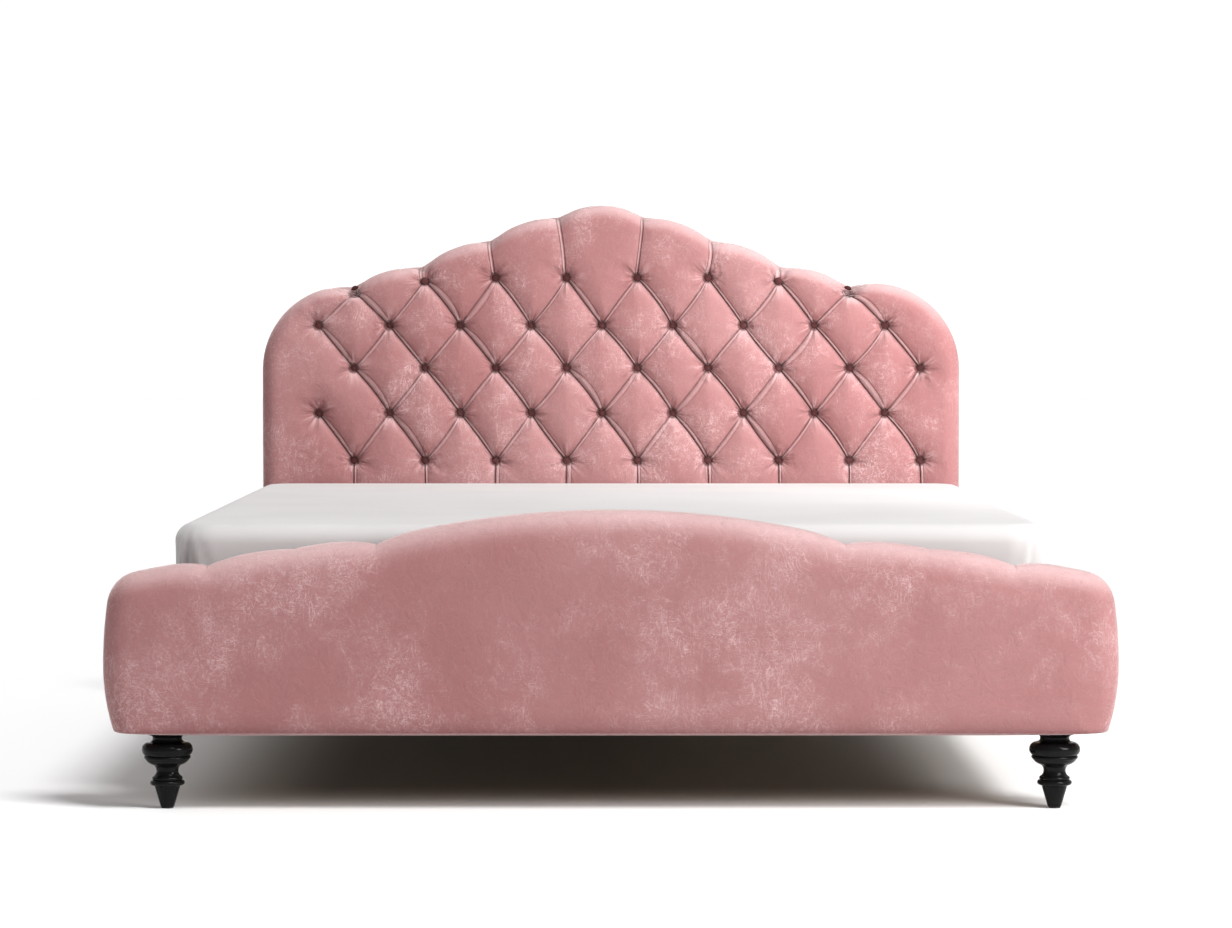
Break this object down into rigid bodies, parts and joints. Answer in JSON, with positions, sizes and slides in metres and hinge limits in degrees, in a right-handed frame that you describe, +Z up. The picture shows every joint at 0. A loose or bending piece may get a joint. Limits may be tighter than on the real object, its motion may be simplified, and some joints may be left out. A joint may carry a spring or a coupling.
{
  "type": "upholstered bed",
  "caption": "Super-king bed with a deep-buttoned, scalloped velvet headboard, a rolled arched footboard, turned black legs and a fitted sheet.",
  "frame": {"origin": "on the floor at the centre of the bed's footprint", "axes": "+X to the right when facing the headboard, +Y from the footboard to the headboard, +Z up"},
  "size_m": [2.024, 2.3, 1.282],
  "materials": {
    "velvet": "dusty pink crushed velvet",
    "button_velvet": "the same velvet over a domed button",
    "foam": "upholstery foam",
    "mattress_ticking": "woven ticking",
    "sheet_cotton": "plain light grey cotton",
    "lining_cloth": "black non-woven lining",
    "black_lacquer": "turned hardwood, gloss black lacquer",
    "felt": "pressed felt",
    "bracket_steel": "black powder coat",
    "zinc_fastener": "zinc plated",
    "levelling_foot": "black plastic disc on a steel stud",
    "plywood": "raw plywood",
    "pine": "planed pine"
  },
  "bodies": {
    "bed_frame": {"bracket_bolts": "zinc_fastener", "centre_leg": "pine", "centre_rail": "pine", "centre_rail_hangers": "bracket_steel", "felt_glides": "felt", "footboard_base_beam": "pine", "footboard_board": "plywood", "footboard_buttons": "button_velvet", "footboard_cover": "velvet", "footboard_foam": "foam", "footboard_lining": "lining_cloth", "headboard_arch_rail": "pine", "headboard_back_cloth": "lining_cloth", "headboard_base_beam": "pine", "headboard_battens": "pine", "headboard_board": "plywood", "headboard_buttons": "button_velvet", "headboard_cover": "velvet", "headboard_foam": "foam", "headboard_lining": "lining_cloth", "headboard_post_left": "pine", "headboard_post_right": "pine", "ledge_screws": "zinc_fastener", "leg_front_left": "black_lacquer", "leg_front_right": "black_lacquer", "leg_plates": "bracket_steel", "leg_rear_left": "black_lacquer", "leg_rear_right": "black_lacquer", "rail_board_left": "pine", "rail_board_right": "pine", "rail_bracket_front_left": "bracket_steel", "rail_bracket_front_right": "bracket_steel", "rail_bracket_rear_left": "bracket_steel", "rail_bracket_rear_right": "bracket_steel", "rail_cover_left": "velvet", "rail_cover_right": "velvet", "rail_foam_left": "foam", "rail_foam_right": "foam", "slat_01": "pine", "slat_02": "pine", "slat_03": "pine", "slat_04": "pine", "slat_05": "pine", "slat_06": "pine", "slat_07": "pine", "slat_08": "pine", "slat_09": "pine", "slat_10": "pine", "slat_11": "pine", "slat_12": "pine", "slat_13": "pine", "slat_ledge_left": "pine", "slat_ledge_right": "pine"},
    "mattress": {"fitted_sheet": "sheet_cotton", "mattress_core": "mattress_ticking"},
    "levelling_foot": {"levelling_foot": "levelling_foot"}
  },
  "joints": [
    {"name": "mattress_lift", "type": "slide", "parent": "bed_frame", "child": "mattress", "axis": [0, 0, 1], "range_m": [0, 0.3]},
    {"name": "foot_screw", "type": "slide", "parent": "bed_frame", "child": "levelling_foot", "axis": [0, 0, 1], "range_m": [0, 0.012]}
  ]
}
